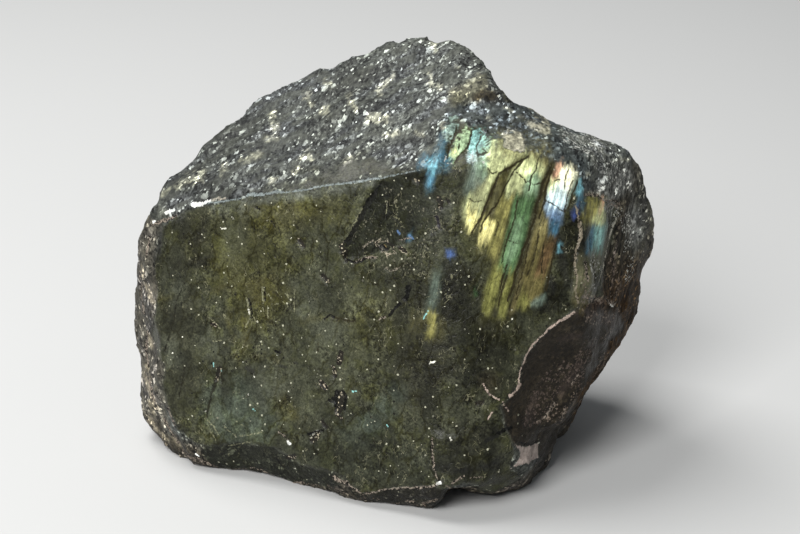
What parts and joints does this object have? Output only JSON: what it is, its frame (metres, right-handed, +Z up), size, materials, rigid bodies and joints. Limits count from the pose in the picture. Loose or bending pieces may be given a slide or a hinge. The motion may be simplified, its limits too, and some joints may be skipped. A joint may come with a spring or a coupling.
{
  "type": "rough labradorite chunk",
  "caption": "Rough natural labradorite stone with one smooth dark olive window that flashes blue, green and gold, rough grey crust on top and sides, flat underside",
  "frame": {"origin": "on the ground under the middle of the stone's bounding box", "axes": "+X along the stone's length, towards the end that flashes; -Y towards the smooth window; +Z up"},
  "size_m": [0.0886, 0.063, 0.0663],
  "materials": {
    "labradorite": "satin dark olive window with coloured flash, rough speckled grey crust elsewhere"
  },
  "bodies": {
    "root": {"labradorite_chunk": "labradorite"}
  },
  "joints": []
}
